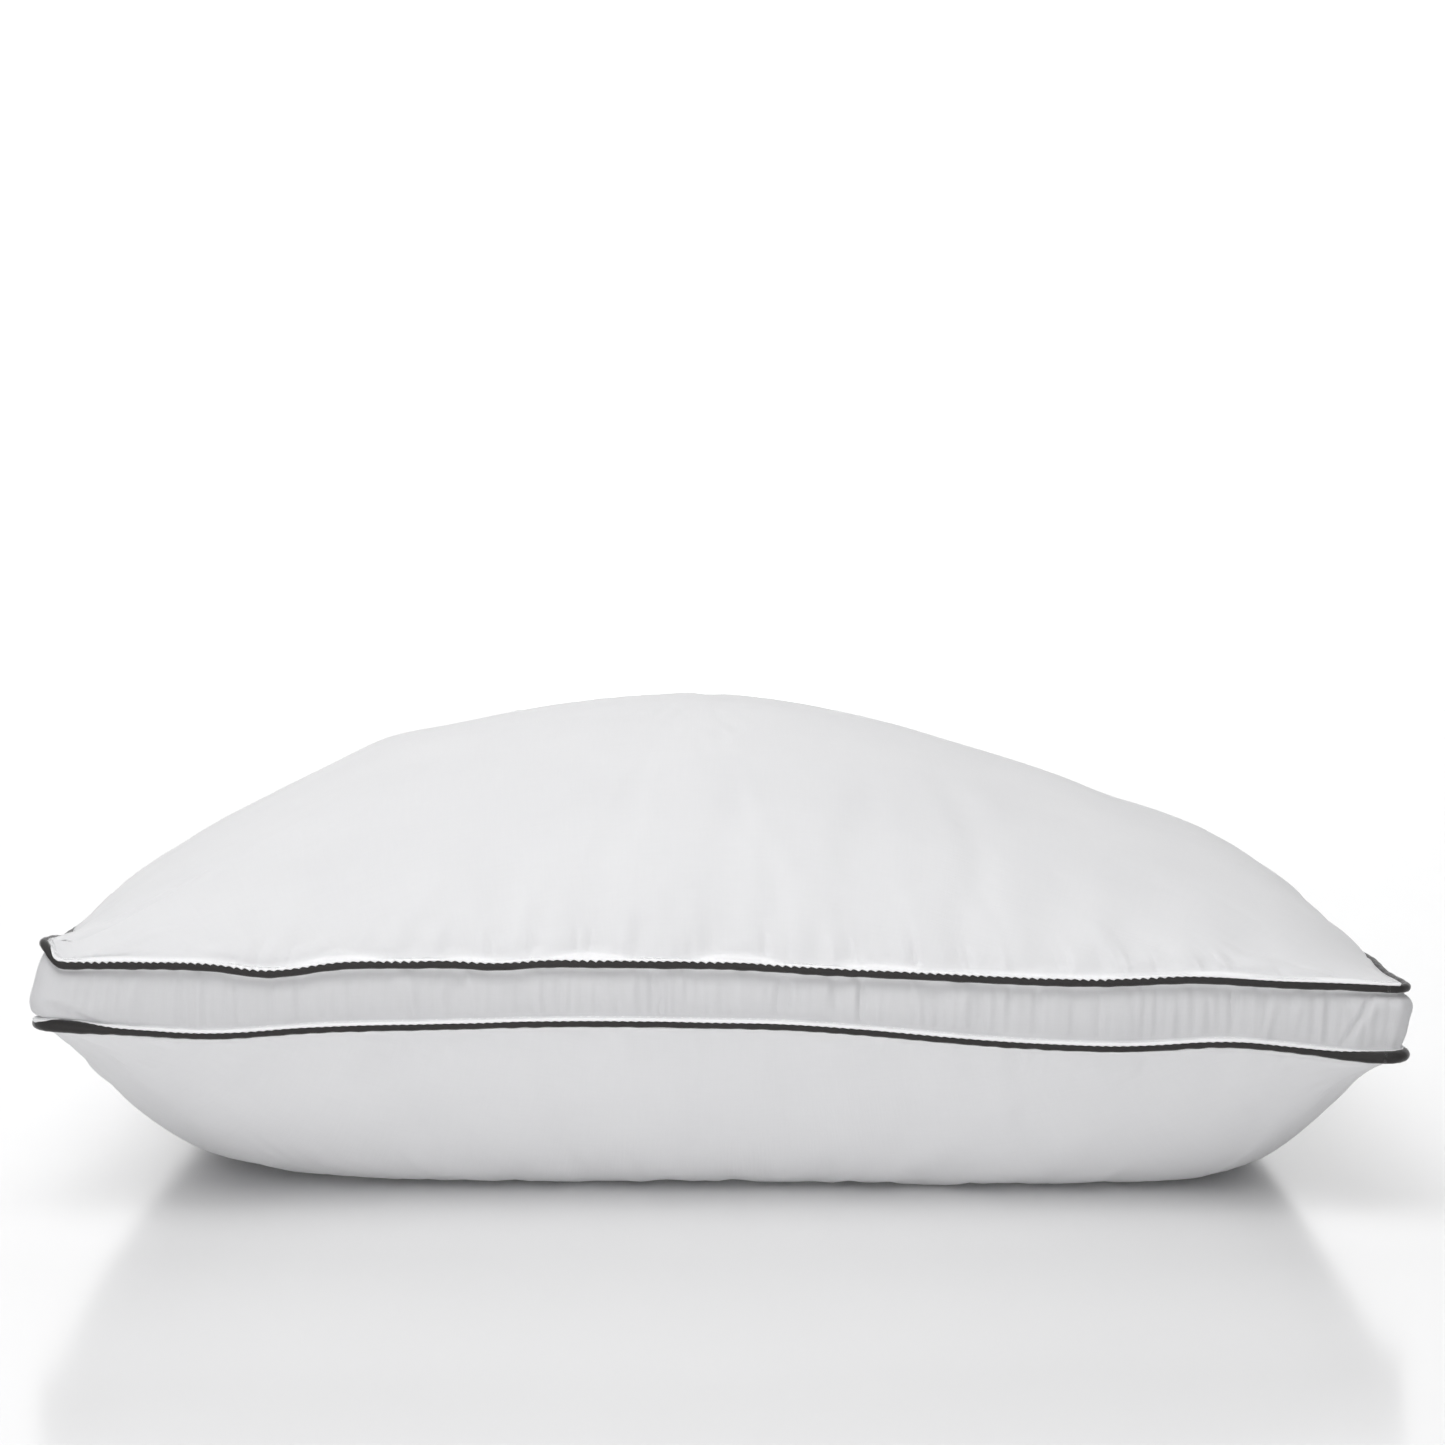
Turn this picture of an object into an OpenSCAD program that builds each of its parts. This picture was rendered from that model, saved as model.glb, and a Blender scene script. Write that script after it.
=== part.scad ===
// Bed pillow with a gusset: two crowned panels, a side band between them, corded
// piping in both seams, stitching, fibre fill and a care label.
// Units are millimetres, +Z is up, and the origin is the middle of the base.

/* [Pillow] */
// Length from the left piping to the right piping
pillow_l = 650; // [560:5:720]
// Depth from the front piping to the back piping
pillow_d = 484; // [420:4:560]
// Radius of the corners of the seams
corner_r = 22; // [16:1:32]
// How far the long sides pull in halfway between the corners
long_bow = 8; // [0:1:12]
// How far the short sides pull in halfway between the corners
short_bow = 5; // [0:1:10]

/* [Crown and belly] */
// Height of the crown above the upper seam
crown_h = 108.5; // [80:0.5:125]
// How far the top of the crown sits off centre along X
crown_shift = -14; // [-30:1:30]
// How far the middle of the belly sits off centre along X
belly_shift = 6; // [-20:1:20]
// How far the belly would hang below the lower seam if no floor held it up
belly_h = 128; // [120:1:140]
// Height of the lower seam above the floor at the left end
lower_seam_z = 87.5; // [84:0.5:92]
// How much lower both seams lie at the right end, where the fill has settled
seam_sag = 10; // [0:0.5:11]

/* [Side band] */
// Height of the side band from seam to seam
gusset_h = 30; // [26:1:40]
// How far the side band bulges out halfway up
gusset_bulge = 3; // [1:0.5:4]
// Width of the seam allowance turned inwards along each edge
hem_w = 8; // [6:0.5:9]

/* [Cloth and piping] */
// Thickness of a cloth layer together with its backing
cloth_t = 0.8; // [0.6:0.1:0.9]
// Diameter of the finished piping
piping_d = 4.2; // [3.8:0.1:4.8]
// Thickness of the bias strip that wraps the piping cord
bias_t = 0.4; // [0.3:0.05:0.4]
// Thickness of a sewing thread
thread_d = 0.8; // [0.6:0.1:0.8]

/* [Care label] */
// Width of the label along the seam
label_w = 32; // [20:1:40]
// Length of the label as it hangs
label_l = 46; // [30:1:50]
// Distance from the middle of the back seam to the middle of the label
label_x = 190; // [100:5:220]

/* [Hidden] */

white_cloth = [0.93, 0.93, 0.94];
fibre_white = [0.98, 0.98, 0.96];
charcoal = [0.13, 0.12, 0.12];
cord_white = [0.85, 0.84, 0.80];
thread_white = [0.97, 0.97, 0.97];

gap = 0.05;                          // air between one layer and the next
flange_t = 2 * bias_t + gap;         // both layers of bias strip where they lie in the seam
hem_near = flange_t / 2 + gap;       // face of a hem that lies on the bias strip
hem_far = hem_near + cloth_t;        // the other face of that hem
piping_r = piping_d / 2;
piping_out = piping_r + 0.2;         // piping centre, measured out from the seam line
cord_r = piping_r - bias_t - 0.25;
half_l = pillow_l / 2 - piping_out - piping_r;
half_d = pillow_d / 2 - piping_out - piping_r;
sag_from = 10;                       // along X, the seams start to dip here
sag_to = 200;                        // and are fully down here

long_steps = 20;                     // points along a long side
short_steps = 10;                    // points along a short side
corner_steps = 4;                    // points round a corner
round_fn = 24;

// ---- Seam line: a rounded rectangle whose sides pull in, seen from above ----

function side_steps(q) = q % 2 == 0 ? short_steps : long_steps;
function corner_centre(q) =
    [(q < 2 ? 1 : -1) * (half_l - corner_r), (q == 1 || q == 2 ? 1 : -1) * (half_d - corner_r)];
function corner_point(q, turn) =
    corner_centre(q) + corner_r * [cos(90 * q + turn - 90), sin(90 * q + turn - 90)];
function bowed(p) =
    [p.x * (1 - short_bow / half_l * (1 - pow(p.y / half_d, 2))),
     p.y * (1 - long_bow / half_d * (1 - pow(p.x / half_l, 2)))];
function corner_run(q) =
    [for (j = [0:corner_steps]) bowed(corner_point(q, 90 * j / corner_steps))];
function side_run(q) =
    [for (j = [1:side_steps(q) - 1])
        let (f = j / side_steps(q))
        bowed((1 - f) * corner_point(q, 90) + f * corner_point((q + 1) % 4, 0))];

seam = [for (q = [0:3]) each concat(corner_run(q), side_run(q))];
seam_n = len(seam);
join_i = seam_n - 4;                 // seam point where the ends of the side band meet

function around(i) = (i + seam_n) % seam_n;
function unit(v) = v / norm(v);
function along(i) = unit(seam[around(i + 1)] - seam[around(i - 1)]);
function outward(i) = [along(i).y, -along(i).x];

function smooth_step(from, to, x) =
    let (f = min(1, max(0, (x - from) / (to - from)))) f * f * (3 - 2 * f);
function lower_z(x) = lower_seam_z - seam_sag * smooth_step(sag_from, sag_to, x);
function upper_z(x) = lower_z(x) + gusset_h;

upper_line = [for (p = seam) upper_z(p.x)];
lower_line = [for (p = seam) lower_z(p.x)];

// The point n outwards from seam point i, at height z
function at_seam(i, n, z) =
    let (p = seam[around(i)] + n * outward(around(i))) [p.x, p.y, z];
// All those points at one offset n, at height h over a seam line
function seam_ring(line, n, h) = [for (i = [0:seam_n - 1]) at_seam(i, n, line[i] + h)];

// ---- Crown and belly ----

// A profile is 1 in the middle of the pillow and 0 on the seam. The larger its first
// number, the further out it stays full, and the larger its second, the gentler it ends.
crown_left = [1.72, 0.72];
crown_right = [1.5, 0.57];
crown_across = [2.2, 0.55];
belly_left = [4.5, 0.89];
belly_right = [4.7, 0.7];
belly_across = [4.3, 1];
belly_soft = 8;                      // how gently the belly turns onto the floor

// Rings of points, as shares of the way from the middle to the seam line: they turn
// from an oval into the seam line, the later the larger the square value.
crown_rings = [0.2, 0.4, 0.57, 0.71, 0.83, 0.92, 0.975];
belly_rings = [0.64, 0.7, 0.76, 0.82, 0.87, 0.915, 0.96];
crown_square = 3;
belly_square = 2.2;

function profile(t, shape) = pow(1 - pow(min(1, abs(t)), shape[0]), shape[1]);
function ring_xy(s, i, square) =
    let (turn = atan2(seam[i].y / half_d, seam[i].x / half_l),
         oval = [half_l * cos(turn), half_d * sin(turn)],
         f = pow(s, square))
    s * ((1 - f) * oval + f * seam[i]);
// Place within the sides, as shares from -1 to 1, with the pull of the sides taken out
function share(p) =
    [p.x / (half_l - short_bow * (1 - pow(p.y / half_d, 2))),
     p.y / (half_d - long_bow * (1 - pow(p.x / half_l, 2)))];
// The round corners of the seam line lie a little inside the share of 1
function fullness(s, i, square, left, right, across) =
    let (edge = share(seam[i]),
         reach = pow(max(abs(edge.x), abs(edge.y)), pow(s, 4)),
         t = share(ring_xy(s, i, square)) / reach)
    profile(t.x, t.x < 0 ? left : right) * profile(t.y, across);

function crown_point(s, i) =
    let (p = ring_xy(s, i, crown_square) + [crown_shift * (1 - s * s), 0],
         full = fullness(s, i, crown_square, crown_left, crown_right, crown_across))
    [p.x, p.y, upper_z(p.x) + crown_h * full];
function belly_point(s, i) =
    let (p = ring_xy(s, i, belly_square) + [belly_shift * (1 - s * s), 0],
         full = fullness(s, i, belly_square, belly_left, belly_right, belly_across),
         z = lower_z(p.x) - belly_h * full)
    [p.x, p.y, max(0, belly_soft * ln(1 + exp(z / belly_soft)) - 0.35)];

crown_skin = [for (s = crown_rings) [for (i = [0:seam_n - 1]) crown_point(s, i)]];
belly_skin = [for (s = belly_rings) [for (i = [0:seam_n - 1]) belly_point(s, i)]];
crown_top = crown_point(0, 0);
belly_base = belly_point(0, 0);

// ---- Mesh helpers ----

function reversed(list) = [for (k = [len(list) - 1:-1:0]) list[k]];
function lifted(rings, h) = [for (r = rings) [for (p = r) p + [0, 0, h]]];

// A closed skin from its highest middle point, through its rings, to its lowest one
module capped_rings(first, rings, last) {
    n = len(rings[0]);
    m = len(rings);
    end = 1 + m * n;
    polyhedron(
        concat([first], [for (r = rings) each r], [last]),
        concat(
            [for (j = [0:n - 1]) [0, 1 + (j + 1) % n, 1 + j]],
            [for (k = [0:m - 2], j = [0:n - 1])
                let (a = 1 + k * n + j, b = 1 + k * n + (j + 1) % n)
                each [[a, b, a + n], [b, b + n, a + n]]],
            [for (j = [0:n - 1]) [end, end - n + j, end - n + (j + 1) % n]]),
        convexity = 8);
}

// Cross-sections joined one to the next, and the last to the first
module closed_loop(sections) {
    n = len(sections);
    m = len(sections[0]);
    polyhedron(
        [for (s = sections) each s],
        [for (k = [0:n - 1], j = [0:m - 1])
            let (a = k * m + j, b = k * m + (j + 1) % m,
                 c = (k + 1) % n * m + j, d = (k + 1) % n * m + (j + 1) % m)
            each [[a, b, c], [b, d, c]]],
        convexity = 8);
}

// Ribbon sections (one face, then the other face backwards) joined, with both ends closed
module open_strip(sections) {
    n = len(sections);
    m = len(sections[0]);
    last = (n - 1) * m;
    polyhedron(
        [for (s = sections) each s],
        concat(
            [for (k = [0:n - 2], j = [0:m - 1])
                let (a = k * m + j, b = k * m + (j + 1) % m)
                each [[a, b, a + m], [b, b + m, a + m]]],
            [for (j = [0:m / 2 - 2])
                each [[j, m - 1 - j, j + 1], [j + 1, m - 1 - j, m - 2 - j]]],
            [for (j = [0:m / 2 - 2])
                each [[last + j, last + j + 1, last + m - 1 - j],
                      [last + j + 1, last + m - 2 - j, last + m - 1 - j]]]),
        convexity = 8);
}

// A round thread or cord that follows a seam line at offset n and height h
module seam_cord(line, radius, n, h, sides) {
    closed_loop([for (i = [0:seam_n - 1])
        [for (j = [0:sides - 1])
            let (a = 360 * (j + 0.5) / sides)
            at_seam(i, n + radius * cos(a), line[i] + h + radius * sin(a))]]);
}

// A straight stitch of the given length along the direction that turns +Z by angles
module stitch(length, angles) {
    rotate(angles) cylinder(h = length, d = thread_d, center = true, $fn = round_fn);
}

// A panel's turned-in seam allowance, on the side of the seam that side gives, +1 or -1
function hem_rings(line, side) =
    [seam_ring(line, 0, side * hem_near), seam_ring(line, -hem_w, side * hem_near),
     seam_ring(line, -hem_w, side * hem_far), seam_ring(line, -1.5 * cloth_t, side * hem_far)];

// ---- Panels and side band ----

module top_panel() {
    color(white_cloth)
        capped_rings(crown_top + [0, 0, hem_far],
            concat(lifted(crown_skin, hem_far), [seam_ring(upper_line, 0, hem_far)],
                hem_rings(upper_line, 1), reversed(lifted(crown_skin, hem_near))),
            crown_top + [0, 0, hem_near]);
}

// The belly runs from the floor up to the lower seam, less the seam's own thickness
module bottom_panel() {
    drop = [for (r = belly_skin) [for (p = r) [p.x, p.y, max(0, p.z - hem_far)]]];
    color(white_cloth)
        capped_rings(belly_base + [0, 0, cloth_t],
            concat(lifted(drop, cloth_t), reversed(hem_rings(lower_line, -1)),
                [seam_ring(lower_line, 0, -hem_far)], reversed(drop)),
            belly_base);
}

band_rows = [0, 0.2, 0.5, 0.8, 1];
function band_out(f) = gusset_bulge * pow(max(0, sin(180 * f)), 1.5);
function band_height(i, f) =
    let (low = lower_line[i] + hem_near, high = upper_line[i] - hem_near)
    low + f * (high - low);
function band_inner_height(i, f) =
    let (low = lower_line[i] + hem_far, high = upper_line[i] - hem_far)
    low + f * (high - low);
function band_section(i, shift) =
    let (outer = concat(
            [at_seam(i, -hem_w, band_height(i, 0))],
            [for (f = band_rows) at_seam(i, band_out(f), band_height(i, f))],
            [at_seam(i, -hem_w, band_height(i, 1))]),
         inner = concat(
            [at_seam(i, -hem_w, band_inner_height(i, 0))],
            [for (f = band_rows) at_seam(i, band_out(f) - cloth_t, band_inner_height(i, f))],
            [at_seam(i, -hem_w, band_inner_height(i, 1))]),
         step = shift * along(i))
    [for (p = concat(outer, reversed(inner))) p + [step.x, step.y, 0]];

module gusset_strip() {
    color(white_cloth)
        open_strip([for (k = [0:seam_n])
            band_section(around(join_i + k), k == 0 ? gap : k == seam_n ? -gap : 0)]);
}

// ---- Piping: a bias strip wrapped round a cord, its two edges lying in the seam ----

wrap_turns = 6;                      // points round the wrap, beside the two at its neck

function wrap_path(radius, h) =
    let (neck = asin(h / radius), sweep = 360 - 2 * neck)
    concat([[-hem_w, -h]],
        [for (j = [0:wrap_turns + 1])
            let (a = neck - 180 + sweep * j / (wrap_turns + 1))
            [piping_out + radius * cos(a), radius * sin(a)]],
        [[-hem_w, h]]);

module piping_cover(line) {
    section = concat(wrap_path(piping_r, flange_t / 2),
        reversed(wrap_path(piping_r - bias_t, gap / 2)));
    color(charcoal)
        closed_loop([for (i = [0:seam_n - 1])
            [for (p = section) at_seam(i, p.x, line[i] + p.y)]]);
}

module piping_cord(line) {
    color(cord_white) seam_cord(line, cord_r, piping_out, 0, 6);
}

module upper_piping_cover() { piping_cover(upper_line); }
module lower_piping_cover() { piping_cover(lower_line); }
module upper_piping_cord() { piping_cord(upper_line); }
module lower_piping_cord() { piping_cord(lower_line); }

// ---- Stitching that runs along the seams ----

edge_thread_r = thread_d / 2;
overlock_r = 0.6;
overlock_n = -hem_w - overlock_r - 2 * gap;

module upper_edge_stitching() {
    color(thread_white) seam_cord(upper_line, edge_thread_r, edge_thread_r + 0.06, 1.95, 4);
}

module lower_edge_stitching() {
    color(thread_white) seam_cord(lower_line, edge_thread_r, edge_thread_r + 0.65, 2.45, 4);
}

module upper_overlock_thread() {
    color(thread_white) seam_cord(upper_line, overlock_r, overlock_n, 0, 4);
}

module lower_overlock_thread() {
    color(thread_white) seam_cord(lower_line, overlock_r, overlock_n, 0, 4);
}

join_stitches = 8;

// A row of stitches up the inside of the side band, over its join
module gusset_join_stitching() {
    pitch = (gusset_h - 8) / join_stitches;
    color(thread_white)
        for (j = [0:join_stitches - 1]) {
            z = lower_line[join_i] + 4 + pitch * (j + 0.5);
            f = (z - lower_line[join_i]) / gusset_h;
            translate(at_seam(join_i, band_out(f) - cloth_t - thread_d, z))
                stitch(pitch - thread_d, [0, 0, 0]);
        }
}

// The fill goes in through the back of the band, whose lower edge is sewn shut last
closing_from = -150;
closing_to = 30;
closing_pitch = 6;

module closing_seam_stitching() {
    rise = 5;
    out = band_out(rise / gusset_h) + thread_d;
    color(thread_white)
        for (x = [closing_from:closing_pitch:closing_to]) {
            p = bowed([x, half_d]);
            translate([p.x, p.y + out, lower_z(p.x) + rise])
                stitch(closing_pitch - 2, [0, 90, 0]);
        }
}

// ---- Fill ----

fill_clear = 3;
fill_inset = hem_w + 4.5;
fill_i = [for (i = [0:2:seam_n - 1]) i];

function inset_ring(skin, s, late, h) =
    [for (i = fill_i)
        let (o = outward(i) * fill_inset * pow(s, late)) skin[i] + [-o.x, -o.y, h]];

module fibre_fill() {
    crown = [for (k = [0:len(crown_rings) - 1])
        inset_ring(crown_skin[k], crown_rings[k], 8, -fill_clear)];
    belly = [for (k = [len(belly_rings) - 1:-1:0])
        inset_ring(belly_skin[k], belly_rings[k], 12, cloth_t + 0.4)];
    side = [
        [for (i = fill_i) at_seam(i, -fill_inset, upper_line[i] - fill_clear)],
        [for (i = fill_i) at_seam(i, -fill_clear, (upper_line[i] + lower_line[i]) / 2)],
        [for (i = fill_i) at_seam(i, -fill_inset, lower_line[i] + fill_clear)]];
    color(fibre_white)
        capped_rings(crown_top - [0, 0, fill_clear], concat(crown, side, belly),
            belly_base + [0, 0, cloth_t + 0.4]);
}

// ---- Care label, blank, hanging from the back of the lower seam ----

label_t = 0.5;
label_top = lower_z(label_x) - piping_r - 2 * gap;
label_y = bowed([label_x, half_d]).y + 1.5;

module care_label() {
    color(white_cloth)
        translate([label_x - label_w / 2, label_y, label_top - label_l])
            cube([label_w, label_t, label_l]);
}

module care_label_stitching() {
    count = 6;
    pitch = label_w / count;
    color(thread_white)
        for (j = [0:count - 1])
            translate([label_x - label_w / 2 + pitch * (j + 0.5),
                label_y + label_t + thread_d / 2 + gap, label_top - 3])
                stitch(pitch - 2, [0, 90, 0]);
}

top_panel();
bottom_panel();
gusset_strip();
upper_piping_cover();
upper_piping_cord();
lower_piping_cover();
lower_piping_cord();
fibre_fill();
upper_edge_stitching();
lower_edge_stitching();
upper_overlock_thread();
lower_overlock_thread();
gusset_join_stitching();
closing_seam_stitching();
care_label();
care_label_stitching();
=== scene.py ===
import math

import bmesh
import bpy
import numpy as np
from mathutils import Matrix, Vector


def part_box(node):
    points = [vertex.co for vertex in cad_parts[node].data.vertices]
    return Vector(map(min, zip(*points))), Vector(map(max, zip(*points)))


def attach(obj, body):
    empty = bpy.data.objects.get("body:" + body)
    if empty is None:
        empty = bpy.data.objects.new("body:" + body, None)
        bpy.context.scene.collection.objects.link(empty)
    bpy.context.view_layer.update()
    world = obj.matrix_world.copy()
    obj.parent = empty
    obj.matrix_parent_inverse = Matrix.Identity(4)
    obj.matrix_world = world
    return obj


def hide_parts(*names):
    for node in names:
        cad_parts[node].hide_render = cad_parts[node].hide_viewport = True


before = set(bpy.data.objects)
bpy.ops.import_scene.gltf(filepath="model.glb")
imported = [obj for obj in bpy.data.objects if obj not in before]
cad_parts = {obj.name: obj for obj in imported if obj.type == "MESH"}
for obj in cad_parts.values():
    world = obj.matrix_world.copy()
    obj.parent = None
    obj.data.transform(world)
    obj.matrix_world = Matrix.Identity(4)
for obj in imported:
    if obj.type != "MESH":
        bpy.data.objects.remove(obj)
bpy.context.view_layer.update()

MM = 0.001

# ---- Driving values ----

PIPE_R = 2.1 * MM  # radius of the finished piping
PIPE_OUT = 2.3 * MM  # piping centre, outwards from the seam line
STRIP = 0.4 * MM  # thickness of the bias strip round the piping
CLOTH = 0.45 * MM  # thickness of the white cloth
HEM = 8 * MM  # seam allowance turned inwards
HEM_NEAR = 0.55 * MM  # hem's near face, from the middle of the seam
HEM_FAR = 1.3 * MM  # hem's far face
FACET_LOSS = 1.1 * MM  # what the facets of the CAD corners take off each end
LONG_BOW = 8 * MM  # pull of the long sides, halfway between the corners
SHORT_BOW = 5 * MM
SAG_FROM, SAG_TO = 0.01, 0.2  # along X, where the seams start to dip and end
STITCH_PITCH = 3.95 * MM

upper_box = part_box("upper_piping_cover")
lower_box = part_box("lower_piping_cover")
half_l = (upper_box[1][0] - upper_box[0][0]) / 2 - PIPE_OUT - PIPE_R + FACET_LOSS
half_d = (upper_box[1][1] - upper_box[0][1]) / 2 - PIPE_OUT - PIPE_R + FACET_LOSS
seam_left = lower_box[1][2] - PIPE_R
seam_right = lower_box[0][2] + PIPE_R
band_h = upper_box[1][2] - lower_box[1][2]
crown_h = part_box("top_panel")[1][2] - seam_left - band_h - HEM_FAR

CROWN = dict(left=(1.72, 0.72), right=(1.5, 0.57), across=(2.2, 0.55), square=3, shift=-0.014)
BELLY = dict(left=(3.4, 0.61), right=(4.4, 0.71), across=(4.8, 0.98), square=2.2, shift=0.006)
BELLY_H = 0.128  # how far the belly would hang if no floor held it up
BELLY_SOFT = 0.008  # how gently it turns onto the floor

# Corner radii, front right, back right, back left, front left
UPPER_RADII = (0.006, 0.020, 0.022, 0.008)
LOWER_RADII = (0.007, 0.019, 0.021, 0.008)
# How far a corner is lifted, in the same order
UPPER_LIFT = (-0.0008, 0, 0.001, 0)
LOWER_LIFT = (-0.0008, 0.001, 0, 0.0022)
# How far the corners of a seam are pulled out of line: x and y of the corner as signs, the
# pull along X, Y and Z, and how far along X and Y it is felt
UPPER_PULLS = ((-1, -1, 0.0125, 0, 0, 0.070, 0.090), (-1, -1, 0, 0, 0.0095, 0.0042, 0.085),
    (1, -1, 0.0005, -0.001, 0, 0.022, 0.022))
LOWER_PULLS = ((-1, -1, 0.0085, 0, 0, 0.070, 0.090), (1, -1, 0, -0.002, 0, 0.022, 0.022))
# Where the piping is thicker on the front: x, how far it spreads, and how much is gained
LOWER_FAT = ((-0.301, 0.017, 0.9 * MM), (0.314, 0.020, 0.8 * MM))
# Gentle rises and dips of the front of each seam: the middle along X, how far it spreads,
# and its height
UPPER_WAVES = ((-0.205, 0.025, -4.5 * MM), (-0.10, 0.015, -1.5 * MM), (0.055, 0.055, -2.5 * MM),
    (0.225, 0.035, 3 * MM))
LOWER_WAVES = ((-0.235, 0.04, -3 * MM), (-0.05, 0.09, 2 * MM), (0.24, 0.03, 3 * MM),
    (0.305, 0.025, -2.5 * MM))
# Soft bumps and dents of the crown: x, y, width along X and Y, height
CROWN_BUMPS = ((-0.258, 0.01, 0.045, 0.10, -0.0042), (-0.176, 0.01, 0.022, 0.08, 0.0042),
    (0.226, 0.03, 0.030, 0.10, -0.0048), (-0.304, -0.11, 0.014, 0.06, 0.0040),
    (0.09, -0.13, 0.06, 0.05, 0.0012), (-0.06, -0.16, 0.07, 0.04, -0.0010), (0.03, 0.12, 0.08, 0.06, 0.0015))
# Corners where the crown is drawn in flat beside the seam: x and y of the corner as signs,
# how far along X and Y, and the share of the height that is lost
CROWN_DRAWN = ((1, -1, 0.026, 0.075, 0.62), (-1, -1, 0.024, 0.080, 0.62))

# Points round a seam, the most anywhere, and their shares
LONG_STEPS, SHORT_STEPS, CORNER_STEPS = 1216, 880, 72
ROUND = 2 * (LONG_STEPS + SHORT_STEPS) + 4 * CORNER_STEPS

rng = np.random.default_rng(7)


# ---- Curves of the pillow ----

def smooth_step(start, end, x):
    f = np.clip((x - start) / (end - start), 0, 1)
    return f * f * (3 - 2 * f)


def lower_z(x):
    return seam_left - (seam_left - seam_right) * smooth_step(SAG_FROM, SAG_TO, x)


def upper_z(x):
    return lower_z(x) + band_h


def softened(values, spread):
    """values round a seam, smoothed over a number of points"""
    reach = int(3 * spread)
    weights = np.exp(-0.5 * (np.arange(-reach, reach + 1) / spread) ** 2)
    weights /= weights.sum()
    padded = np.concatenate([values[-reach:], values, values[:reach]])
    return np.convolve(padded, weights, mode="valid")


def soft_noise(arc, total, height, waves):
    """A smooth random line that closes on itself round the pillow"""
    value = np.zeros_like(arc)
    for k in waves:
        value += rng.normal() * np.sin(2 * math.pi * k * arc / total + rng.uniform(0, 2 * math.pi))
    return height * value / math.sqrt(len(waves) / 2)


def seam_plan(radii):
    """The seam seen from above: a rounded rectangle whose sides pull in"""
    signs = ((1, -1), (1, 1), (-1, 1), (-1, -1))
    centres = [np.array([sx * (half_l - r), sy * (half_d - r)]) for (sx, sy), r in zip(signs, radii)]
    rows = []
    for q in range(4):
        steps = LONG_STEPS if q % 2 else SHORT_STEPS
        turn = np.radians(90 * (q - 1) + 90 * np.arange(CORNER_STEPS) / CORNER_STEPS)
        rows.append(centres[q] + radii[q] * np.stack([np.cos(turn), np.sin(turn)], 1))
        way = np.array([math.cos(math.radians(90 * q)), math.sin(math.radians(90 * q))])
        start = centres[q] + radii[q] * way
        end = centres[(q + 1) % 4] + radii[(q + 1) % 4] * way
        f = np.arange(steps)[:, None] / steps
        rows.append((1 - f) * start + f * end)
    x, y = np.concatenate(rows).T
    return np.stack([x * (1 - SHORT_BOW / half_l * (1 - (y / half_d) ** 2)),
        y * (1 - LONG_BOW / half_d * (1 - (x / half_l) ** 2))], 1)


class Seam:
    """One seam line: its points, the level direction outwards, and the length along it"""

    def __init__(self, radii, height, waves, lifts, pulls, fat=()):
        plan = seam_plan(radii)
        steps = np.linalg.norm(np.roll(plan, -1, 0) - plan, axis=1)
        arc = np.concatenate([[0], np.cumsum(steps)[:-1]])
        total = steps.sum()
        x = softened(plan[:, 0], 5)
        y = softened(plan[:, 1], 5)
        front = smooth_step(-0.80 * half_d, -0.97 * half_d, y)
        dz = front * sum(rise * np.exp(-((x - middle) / spread) ** 2) for middle, spread, rise in waves)
        dz += (1 - 0.85 * front) * soft_noise(arc, total, 0.7 * MM, range(9, 26))
        for q, lift in enumerate(lifts):
            near = np.hypot(np.abs(x) - half_l, np.abs(y) - half_d)
            there = (np.sign(x) == (1 if q < 2 else -1)) & (np.sign(y) == (1 if q in (1, 2) else -1))
            dz += lift * np.exp(-(near / 0.024) ** 2) * there
        self.arc, self.length = arc, total
        self.dz = dz
        wobble = soft_noise(arc, total, 0.35 * MM, range(14, 40))
        along = np.roll(np.stack([x, y], 1), -1, 0) - np.roll(np.stack([x, y], 1), 1, 0)
        along /= np.linalg.norm(along, axis=1)[:, None]
        self.out = np.stack([along[:, 1], -along[:, 0]], 1)
        self.along = along
        self.plan = np.stack([x, y], 1) + wobble[:, None] * self.out
        for sx, sy, pull_x, pull_y, pull_z, far_x, far_y in pulls:
            felt = np.exp(-((x - sx * half_l) / far_x) ** 2 - ((y - sy * half_d) / far_y) ** 2)
            self.plan = self.plan + felt[:, None] * np.array([pull_x, pull_y])
            self.dz = self.dz + felt * pull_z
        self.z = height(x) + self.dz
        self.fat = np.zeros(ROUND)
        for fat_x, spread, gain in fat:
            away = np.hypot(self.plan[:, 0] - fat_x, self.plan[:, 1] + half_d)
            self.fat = self.fat + gain * np.exp(-(away / spread) ** 2)

    def at(self, out, up, stride=1):
        """Points out from the seam and up from it, at every stride-th place"""
        out = np.broadcast_to(out, (ROUND,))[::stride]
        up = np.broadcast_to(up, (ROUND,))[::stride]
        xy = self.plan[::stride] + out[:, None] * self.out[::stride]
        return np.column_stack([xy, self.z[::stride] + up])


upper = Seam(UPPER_RADII, upper_z, UPPER_WAVES, UPPER_LIFT, UPPER_PULLS)
lower = Seam(LOWER_RADII, lower_z, LOWER_WAVES, LOWER_LIFT, LOWER_PULLS, LOWER_FAT)


# ---- Crown and belly ----

def profile(t, shape):
    return (1 - np.minimum(1, np.abs(t)) ** shape[0]) ** shape[1]


def share(xy):
    """Place within the sides, from -1 to 1, with the pull of the sides taken out"""
    x, y = xy.T
    return (x / (half_l - SHORT_BOW * (1 - (y / half_d) ** 2)),
        y / (half_d - LONG_BOW * (1 - (x / half_l) ** 2)))


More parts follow.
